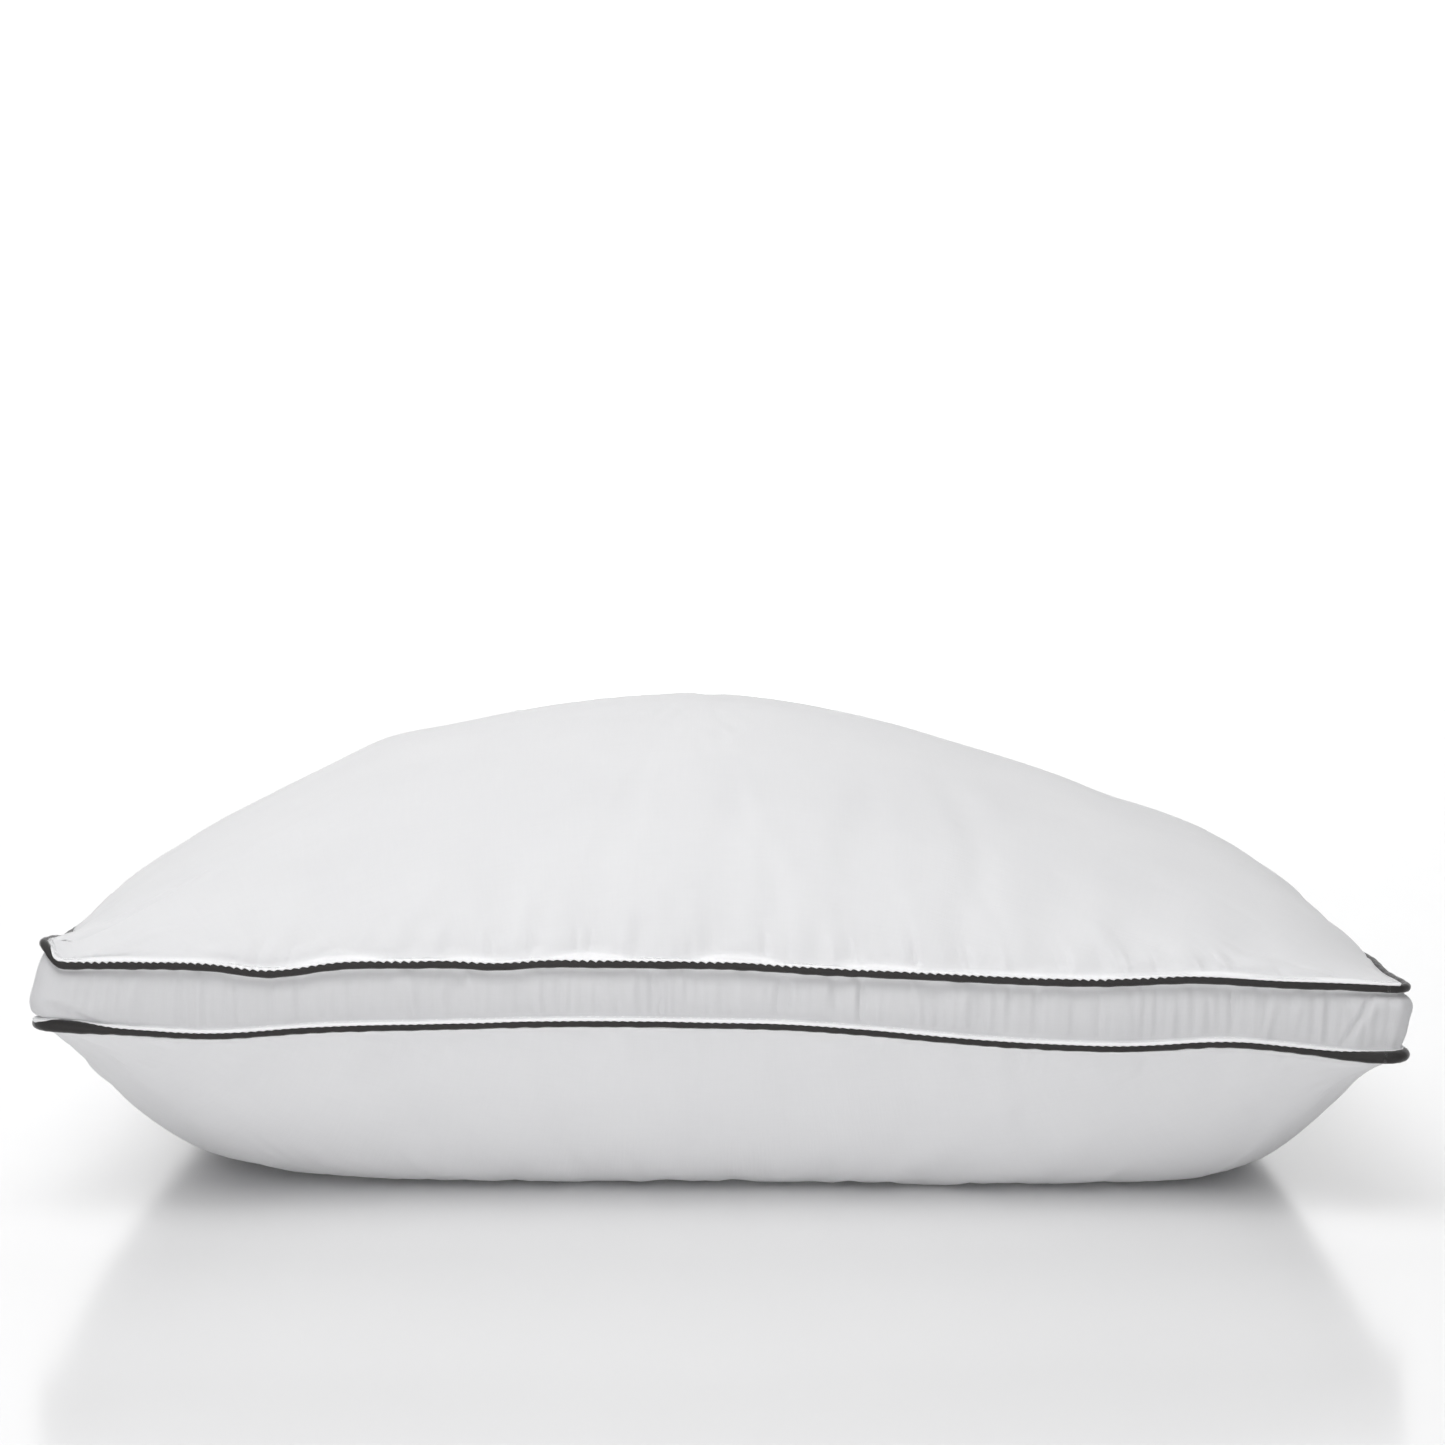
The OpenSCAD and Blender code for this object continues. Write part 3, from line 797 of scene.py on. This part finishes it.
def tube(name, seam, rows, width):
    """A closed tube from lines along the seam; width is the cloth between two of them"""
    arc = seam.arc[::PIPE_STRIDE]
    flats = [np.column_stack([arc, np.full(len(arc), k * width)]) for k in range(len(rows))]
    return ring_object(name, rows, flats, closed=True)


def piping(name, seam):
    """A bias strip wrapped round a cord, its two edges lying in the seam"""
    around, neck = 18, 7.5
    edge_out, edge_in = 0.42 * MM, 0.03 * MM
    arc = seam.arc[::PIPE_STRIDE]
    rough = soft_noise(seam.arc, seam.length, 0.07 * MM, range(60, 260, 7))[::PIPE_STRIDE]
    rough += seam.fat[::PIPE_STRIDE]
    rows = [seam.at(-HEM, -edge_out, PIPE_STRIDE)]
    for d in np.linspace(-180 + neck, 180 - neck, around):
        ridge = 0.05 * MM * np.sin(2 * math.pi * arc / (2.6 * MM) + math.radians(2 * d))
        rows.append(round_piping(seam, PIPE_R + rough + ridge * (abs(d) < 160), math.radians(d)))
    rows += [seam.at(-HEM, edge_out, PIPE_STRIDE), seam.at(-HEM, edge_in, PIPE_STRIDE)]
    for d in np.linspace(178, -178, 10):
        rows.append(round_piping(seam, PIPE_R - STRIP, math.radians(d)))
    rows.append(seam.at(-HEM, -edge_in, PIPE_STRIDE))
    return tube(name, seam, rows, 0.75 * MM)


def twisted_cord(name, seam):
    """The three-strand cotton cord inside the piping"""
    around = 12
    turns = round(seam.length / (9 * MM))
    twist = 2 * math.pi * turns * seam.arc[::PIPE_STRIDE] / seam.length
    rows = []
    for t in 2 * math.pi * np.arange(around) / around:
        rows.append(round_piping(seam, 1.38 * MM + 0.14 * MM * np.cos(3 * (t - twist)), t))
    return tube(name, seam, rows, 0.7 * MM)


# ---- Stitching ----

def place_on(seam, arc):
    """Position and directions at a length along the seam"""
    arc = arc % seam.length
    at = np.append(seam.arc, seam.length)
    values = []
    for rows in (seam.plan, seam.out, seam.along):
        values.append(np.array([np.interp(arc, at, np.append(c, c[0])) for c in rows.T]))
    z = np.interp(arc, at, np.append(seam.z, seam.z[0]))
    return values[0], z, values[1], values[2]


def edge_stitches(name, seam, out, up, length, drop=0):
    """A row of short stitches in the ditch beside the piping, which is lower by drop along
    the short sides"""
    count = round(seam.length / STITCH_PITCH)
    paths = []
    for k in range(count):
        path = []
        p, z, o, along = place_on(seam, (k + 0.02) * seam.length / count)
        lower_by = drop * on_short_side(o[0])
        for t in (-0.5, -0.25, 0, 0.25, 0.5):
            xy = p + (out - 0.5 * lower_by + 0.25 * MM * t) * o + t * length * along
            path.append([xy[0], xy[1], z + up - lower_by - 0.5 * MM * (2 * t) ** 2])
        paths.append(path)
    return thread_object(name, paths, 0.33 * MM)


def overlock(name, seam):
    """The looped thread that binds the raw edges of the hems, inside the pillow"""
    turns = round(seam.length / (4 * MM))
    t = 2 * math.pi * turns * seam.arc / seam.length
    radius, wire, sides = 1.1 * MM, 0.22 * MM, 5
    rows = []
    for k in range(sides):
        a = 2 * math.pi * k / sides
        r = radius + wire * math.cos(a)
        p = seam.at(-HEM - 1.4 * MM + r * np.cos(t), r * np.sin(t))
        p[:, :2] += wire * math.sin(a) * seam.along
        rows.append(p)
    flats = [np.zeros((ROUND, 2)) for _ in rows]
    return ring_object(name, rows, flats, closed=True)


band_grid_rows = np.linspace(0.04, 0.96, 24)
band_grid = np.array([band_point(f) for f in band_grid_rows])


def on_band(x, f, back, clear):
    """A place on the outside of the band at x, on the front or the back of the pillow"""
    side = band_grid[0][:, 1] * (1 if back else -1) > 0.8 * half_d
    k = int(np.argmin(np.where(side, np.abs(band_grid[0][:, 0] - x), 9)))
    column = band_grid[:, k]
    p = np.array([np.interp(f, band_grid_rows, c) for c in column.T])
    p[:2] += clear * lower.out[k]
    return p


def closing_stitches():
    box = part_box("closing_seam_stitching")
    pitch = 6 * MM
    rise = 0.17
    paths = []
    for x in np.arange(box[0][0] + 2 * MM, box[1][0], pitch):
        paths.append([on_band(x + d * MM, rise + h, True, c * MM)
            for d, h, c in ((-2.1, 0, 0.02), (-1.2, 0.004, 0.22), (0, 0.006, 0.3),
                (1.2, 0.004, 0.22), (2.1, 0, 0.02))])
    return thread_object("closing_stitches", paths, 0.34 * MM)


def join_stitches():
    paths = []
    for k in range(8):
        f = 0.14 + 0.09 * k
        paths.append([on_band(JOIN_X, f + d, False, -1.35 * MM) for d in (0, 0.02, 0.04, 0.06)])
    return thread_object("join_stitches", paths, 0.3 * MM)


# ---- Fill and label ----

def fibre_fill():
    """The fill: the pillow's own form, drawn in under the cover, with soft lumps"""
    stride = 16
    clear = 4 * MM
    rings = []
    for k, s in enumerate(np.linspace(0.06, 0.93, 26)):
        p = crown_at(s)
        lump = soft_noise(upper.arc, upper.length, 0.5 * MM, range(6, 22))
        p[:, 2] -= clear + np.abs(lump)
        p[:, :2] -= (12 * MM * s ** 8) * upper.out
        rings.append(p[::stride])
    for f in (0.85, 0.5, 0.15):
        p = band_point(f, fine=False)
        p[:, :2] -= clear * 1.4 * lower.out * (1 + 1.2 * abs(2 * f - 1))
        rings.append(p[::stride])
    for s in np.linspace(0.95, 0.06, 22):
        p = belly_at(s)
        p[:, 2] += 2.2 * MM
        p[:, :2] -= (13 * MM * s ** 12) * lower.out
        rings.append(p[::stride])
    flats = [r[:, :2] for r in rings]
    return ring_object("fibre_fill_lofted", rings, flats, first=rings[0].mean(0),
        last=rings[-1].mean(0))


LABEL_FLAT = (0.032, 0.046)


def care_label():
    """A satin tape, sewn on by its top edge and curling a little as it hangs"""
    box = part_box("care_label")
    middle = (box[0][0] + box[1][0]) / 2
    cols, rows = 16, 26
    width, length = LABEL_FLAT
    thick = 0.3 * MM
    k = int(np.argmin(np.hypot(lower.plan[:, 0] - middle, lower.plan[:, 1] - half_d)))
    top = lower.z[k] - PIPE_R - 0.25 * MM
    y0 = lower.plan[k, 1] + 1.6 * MM
    front, back = [], []
    for j in range(rows + 1):
        v = j / rows
        for i in range(cols + 1):
            u = i / cols - 0.5
            curl = 3.0 * MM * v ** 2 + 1.6 * MM * v * math.sin(2.4 * u + 1.0) * v
            dip = 0.9 * MM * v * (2 * u) ** 2
            front.append([middle + width * u, y0 + curl + dip, top - length * (v - 0.02 * v ** 3)])
            back.append([front[-1][0], front[-1][1] - thick, front[-1][2]])
    points = np.array(front + back)
    n, w = len(front), cols + 1
    faces = []
    for j in range(rows):
        for i in range(cols):
            a = j * w + i
            faces.append([a, a + 1, a + w + 1, a + w])
            faces.append([n + a, n + a + w, n + a + w + 1, n + a + 1])
    rim = list(range(w)) + [j * w + cols for j in range(1, rows + 1)]
    rim += [rows * w + i for i in range(cols - 1, -1, -1)] + [j * w for j in range(rows - 1, 0, -1)]
    for a, b in zip(rim, rim[1:] + rim[:1]):
        faces.append([a, n + a, n + b, b])
    uv = [[p[0] - middle, p[2] - top] for p in points]
    obj = make_object("hanging_label", points, faces, uv, smooth=False)
    paths = []
    pitch = width / 7
    for i in range(7):
        x = middle - width / 2 + pitch * (i + 0.5)
        z = top - 3 * MM
        y = y0 + 0.05 * MM
        paths.append([[x - 1.5 * MM, y, z], [x - 0.8 * MM, y + 0.3 * MM, z],
            [x + 0.8 * MM, y + 0.3 * MM, z], [x + 1.5 * MM, y, z]])
    return obj, thread_object("label_stitches", paths, 0.28 * MM)


# ---- Materials ----

def new_material(name):
    mat = bpy.data.materials.new(name)
    mat.use_nodes = True
    return mat, mat.node_tree.nodes, mat.node_tree.links


def maths(nodes, links, operation, a, b):
    node = nodes.new("ShaderNodeMath")
    node.operation = operation
    for socket, value in zip(node.inputs, (a, b)):
        if isinstance(value, (int, float)):
            socket.default_value = value
        else:
            links.new(value, socket)
    return node.outputs[0]


def blend_of(nodes, links, *parts):
    """The sum of some outputs, each times its share"""
    total = None
    for output, part in parts:
        scaled = maths(nodes, links, "MULTIPLY", output, part)
        total = scaled if total is None else maths(nodes, links, "ADD", total, scaled)
    return total


def ramp_of(nodes, links, source, dark, light, start=0.0, end=1.0):
    """Colours from dark to light as the source goes from start to end"""
    node = nodes.new("ShaderNodeValToRGB")
    for element, place, colour in zip(node.color_ramp.elements, (start, end), (dark, light)):
        element.position = place
        element.color = (*colour, 1)
    links.new(source, node.inputs["Fac"])
    return node.outputs["Color"]


def bump_of(nodes, links, height, strength, distance, under=None):
    node = nodes.new("ShaderNodeBump")
    node.inputs["Strength"].default_value = strength
    node.inputs["Distance"].default_value = distance
    links.new(height, node.inputs["Height"])
    if under is not None:
        links.new(under, node.inputs["Normal"])
    return node.outputs["Normal"]


def mapped(nodes, links, source, scale, turn=0.0):
    node = nodes.new("ShaderNodeMapping")
    node.inputs["Scale"].default_value = scale
    node.inputs["Rotation"].default_value = (0, 0, math.radians(turn))
    links.new(source, node.inputs["Vector"])
    return node.outputs["Vector"]


def wave(nodes, links, source, period, axis, distortion=0.0):
    """Bands of one period, in metres, across an axis"""
    node = nodes.new("ShaderNodeTexWave")
    node.bands_direction = axis
    node.inputs["Scale"].default_value = 2 * math.pi / (20 * period)
    node.inputs["Distortion"].default_value = distortion
    node.inputs["Detail"].default_value = 1.0
    links.new(source, node.inputs["Vector"])
    return node.outputs["Fac"]


def noise(nodes, links, source, size, detail=2.0, roughness=0.5):
    """Noise whose features are about size across, in metres"""
    node = nodes.new("ShaderNodeTexNoise")
    node.inputs["Scale"].default_value = 1 / size
    node.inputs["Detail"].default_value = detail
    node.inputs["Roughness"].default_value = roughness
    links.new(source, node.inputs["Vector"])
    return node.outputs["Fac"]


PAINTED_RIM_HIGHLIGHT = (0.93, 0.93, 0.94)  # painted highlight: the near white that the rolled edges of the cloth are mixed towards, in place of the light they catch


def woven(name, dark, light, pitch, turn, roughness, sheen, bump, slub=0.5, specular=0.35):
    """Cloth: warp over weft at a fine pitch, slubs in the yarn, a soft sheen, and a painted highlight mixed
    in along the edges that carry the edge attribute
    """
    mat, nodes, links = new_material(name)
    bsdf = nodes["Principled BSDF"]
    uv = nodes.new("ShaderNodeUVMap")
    uv.uv_map = "Weave"
    place = mapped(nodes, links, uv.outputs["UV"], (1, 1, 1), turn)
    solid = nodes.new("ShaderNodeTexCoord").outputs["Object"]
    warp = wave(nodes, links, place, pitch, "X")
    weft = wave(nodes, links, place, pitch, "Y")
    over = maths(nodes, links, "MULTIPLY", warp, weft)
    yarn = blend_of(nodes, links, (over, 0.7), (warp, 0.3))
    slub_x = noise(nodes, links, mapped(nodes, links, place, (1, 0.06, 1)), 0.0011)
    slub_y = noise(nodes, links, mapped(nodes, links, place, (0.06, 1, 1)), 0.0011)
    slubs = maths(nodes, links, "ADD", slub_x, slub_y)
    cloudy = noise(nodes, links, solid, 0.05, 3.0)
    tone = blend_of(nodes, links, (cloudy, 0.6), (slubs, 0.25), (yarn, 0.12))
    # Painted highlight: where the edge attribute is set, the colour is mixed towards a near white that
    # stands in for the light the rolled cloth edges catch
    edge = nodes.new("ShaderNodeAttribute")
    edge.attribute_name = "edge"
    mix = nodes.new("ShaderNodeMix")
    mix.data_type = "RGBA"
    links.new(edge.outputs["Fac"], mix.inputs["Factor"])
    links.new(ramp_of(nodes, links, tone, dark, light, 0.3, 0.9), mix.inputs["A"])
    mix.inputs["B"].default_value = (*PAINTED_RIM_HIGHLIGHT, 1)
    links.new(mix.outputs["Result"], bsdf.inputs["Base Color"])
    fine = bump_of(nodes, links, yarn, bump, 0.00006)
    links.new(bump_of(nodes, links, slubs, slub, 0.00012, fine), bsdf.inputs["Normal"])
    gloss = nodes.new("ShaderNodeMapRange")
    gloss.inputs["To Min"].default_value = roughness - 0.06
    gloss.inputs["To Max"].default_value = roughness + 0.06
    links.new(slubs, gloss.inputs["Value"])
    links.new(gloss.outputs["Result"], bsdf.inputs["Roughness"])
    bsdf.inputs["Sheen Weight"].default_value = sheen
    bsdf.inputs["Sheen Roughness"].default_value = 0.4
    bsdf.inputs["Specular IOR Level"].default_value = specular
    return mat


def spun(name, dark, light, twist, roughness):
    """Thread or cord: the twist of its yarn as slanting bands"""
    mat, nodes, links = new_material(name)
    bsdf = nodes["Principled BSDF"]
    solid = nodes.new("ShaderNodeTexCoord").outputs["Object"]
    bands = wave(nodes, links, mapped(nodes, links, solid, (1, 1, 1), 40), twist, "DIAGONAL", 0.6)
    fuzz = noise(nodes, links, solid, 0.0006, 3.0)
    tone = blend_of(nodes, links, (bands, 0.6), (fuzz, 0.4))
    links.new(ramp_of(nodes, links, tone, dark, light), bsdf.inputs["Base Color"])
    links.new(bump_of(nodes, links, tone, 0.6, 0.00015), bsdf.inputs["Normal"])
    bsdf.inputs["Roughness"].default_value = roughness
    bsdf.inputs["Sheen Weight"].default_value = 0.25
    return mat


def floor_paint():
    mat, nodes, links = new_material("studio_floor")
    bsdf = nodes["Principled BSDF"]
    solid = nodes.new("ShaderNodeTexCoord").outputs["Object"]
    haze = noise(nodes, links, solid, 0.35)
    links.new(ramp_of(nodes, links, haze, (0.86, 0.86, 0.865), (0.88, 0.88, 0.885)),
        bsdf.inputs["Base Color"])
    bsdf.inputs["Roughness"].default_value = 0.16
    bsdf.inputs["Specular IOR Level"].default_value = 1.0
    return mat


# ---- Camera, floor and light ----

CAMERA = (0.0051, -1.6954, 0.3365)
CAMERA_PITCH = 4.17  # degrees below level
CAMERA_LENS = 78.98
BACKDROP_GLOW = 0.8
ROOM_LEFT, ROOM_RIGHT = 0.46, 0.26  # how bright the room is on either side
OVERHEAD_WATTS = 32
FRONT_WATTS = 1.2
FRONT_SPREAD = 64  # degrees


def camera():
    data = bpy.data.cameras.new("camera")
    data.lens = CAMERA_LENS
    data.sensor_width = 36
    data.clip_end = 50
    obj = linked("camera", data)
    obj.location = CAMERA
    obj.rotation_euler = (math.radians(90 - CAMERA_PITCH), 0, 0)
    bpy.context.scene.camera = obj


def stage_sheet(name, corners, material):
    """One flat sheet of the studio, which isn't part of the object"""
    mesh = bpy.data.meshes.new(name)
    mesh.from_pydata(corners, [], [[0, 1, 2, 3]])
    mesh.materials.append(material)
    linked(name, mesh)


def studio_floor():
    """A wide, plain floor, which meets the white of the studio far behind"""
    half = 9.0
    stage_sheet("studio_floor", [(-half, -half, 0), (half, -half, 0), (half, half, 0), (-half, half, 0)],
        floor_paint())


def area_light(name, place, target, size, watts, spread=180):
    """A soft light; a spread below 180 degrees is what a grid on a softbox gives"""
    data = bpy.data.lights.new(name, "AREA")
    data.shape = "RECTANGLE"
    data.size, data.size_y = size
    data.energy = watts
    data.spread = math.radians(spread)
    obj = linked(name, data)
    obj.location = place
    obj.visible_camera = False
    way = np.array(target) - np.array(place)
    flat = math.hypot(way[0], way[1])
    obj.rotation_euler = (math.atan2(flat, -way[2]), 0, math.atan2(-way[0], way[1]))


def backdrop():
    """A white backdrop that glows evenly, as a lit paper roll does"""
    half, back, low, high = 5.0, 3.2, -0.01, 4.5
    mat, nodes, links = new_material("lit_paper")
    bsdf = nodes["Principled BSDF"]
    bsdf.inputs["Base Color"].default_value = (0.8, 0.8, 0.8, 1)
    bsdf.inputs["Roughness"].default_value = 0.9
    bsdf.inputs["Emission Color"].default_value = (1, 1, 1, 1)
    bsdf.inputs["Emission Strength"].default_value = BACKDROP_GLOW
    stage_sheet("studio_backdrop", [(-half, back, low), (half, back, low), (half, back, high),
        (-half, back, high)], mat)


def lights():
    """Soft light from overhead on the left, and a dimmer white room all round"""
    world = bpy.data.worlds.new("studio")
    bpy.context.scene.world = world
    world.use_nodes = True
    nodes, links = world.node_tree.nodes, world.node_tree.links
    sky = nodes["Background"]
    sky.inputs["Color"].default_value = (1.0, 1.0, 1.0, 1)
    way = nodes.new("ShaderNodeSeparateXYZ")
    links.new(nodes.new("ShaderNodeTexCoord").outputs["Generated"], way.inputs[0])
    fade = nodes.new("ShaderNodeMapRange")
    fade.inputs["From Min"].default_value = -1
    fade.inputs["From Max"].default_value = 1
    fade.inputs["To Min"].default_value = ROOM_LEFT
    fade.inputs["To Max"].default_value = ROOM_RIGHT
    links.new(way.outputs["X"], fade.inputs["Value"])
    links.new(fade.outputs["Result"], sky.inputs["Strength"])
    area_light("overhead", (-0.45, -0.5, 2.3), (0, 0, 0.1), (2.2, 2.0), OVERHEAD_WATTS)
    area_light("front_low", (-0.06, -1.85, 0.26), (-0.03, 0, 0.06), (0.5, 0.35), FRONT_WATTS,
        FRONT_SPREAD)
    bpy.context.scene.view_settings.view_transform = "Standard"


# ---- Putting it together ----

def dress(obj, material, slot, *nodes):
    obj.data.materials.append(material)
    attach(obj, "root")
    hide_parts(*nodes)


camera()
studio_floor()
backdrop()
lights()

panel_cloth = woven("panel_sateen", (0.755, 0.755, 0.768), (0.80, 0.80, 0.81), 0.00042, 0,
    0.72, 0.25, 0.5)
# A darker copy of the panel sateen on the side band: painted shade, in place of the shade that falls on the
# upright band
band_cloth = woven("band_sateen_painted_shade", (0.645, 0.645, 0.66), (0.69, 0.69, 0.70), 0.00042, 0,
    0.72, 0.25, 0.5)
piping_cloth = woven("charcoal_bias_sateen", (0.012, 0.0108, 0.0108), (0.026, 0.023, 0.0225), 0.0005,
    45, 0.55, 0.5, 0.9, slub=0.8, specular=0.4)
label_cloth = woven("label_satin", (0.83, 0.83, 0.82), (0.9, 0.9, 0.89), 0.00035, 0, 0.42, 0.1, 0.4)
thread = spun("white_thread", (0.82, 0.82, 0.83), (0.95, 0.95, 0.95), 0.0007, 0.5)
cord_cotton = spun("cotton_cord", (0.68, 0.65, 0.58), (0.84, 0.82, 0.76), 0.0012, 0.8)
fibre = spun("polyester_fibre", (0.86, 0.86, 0.85), (0.97, 0.97, 0.96), 0.003, 0.7)

# The last argument of each panel is the strength of the painted highlight along its edge
top = panel("crown_panel", upper, crown_at, 1, "crown", RIM_OUT, crown_puckers, crown_folds,
    upper_tip, short_side, crown_length, 1.0)
dress(top, panel_cloth, "panel_cloth", "top_panel")

bottom = panel("belly_panel", lower, belly_at, -1, "belly", UNDER_OUT, belly_puckers, belly_folds,
    np.full(ROUND, UNDER_TIP), np.zeros(ROUND), belly_length, UNDER_PAINTED_HIGHLIGHT)
dress(bottom, panel_cloth, "panel_cloth", "bottom_panel")

band = side_band()
dress(band, band_cloth, "band_cloth", "gusset_strip")

SEAMS = (("upper", upper), ("lower", lower))
for place, seam in SEAMS:
    dress(piping(f"{place}_piping", seam), piping_cloth, "piping_cloth", f"{place}_piping_cover")
for place, seam in SEAMS:
    dress(twisted_cord(f"{place}_cord", seam), cord_cotton, "piping_core", f"{place}_piping_cord")

dress(edge_stitches("upper_stitches", upper, 0.7 * MM, 2.95 * MM, 2.9 * MM, 1.8 * MM), thread, "thread",
    "upper_edge_stitching")
dress(edge_stitches("lower_stitches", lower, 0.7 * MM, 2.6 * MM, 2.7 * MM), thread, "thread",
    "lower_edge_stitching")
for place, seam in SEAMS:
    dress(overlock(f"{place}_overlock", seam), thread, "thread", f"{place}_overlock_thread")
dress(closing_stitches(), thread, "thread", "closing_seam_stitching")
dress(join_stitches(), thread, "thread", "gusset_join_stitching")

filling = fibre_fill()
dress(filling, fibre, "fibre", "fibre_fill")

label, label_thread = care_label()
dress(label, label_cloth, "label_tape", "care_label")
dress(label_thread, thread, "thread", "care_label_stitching")
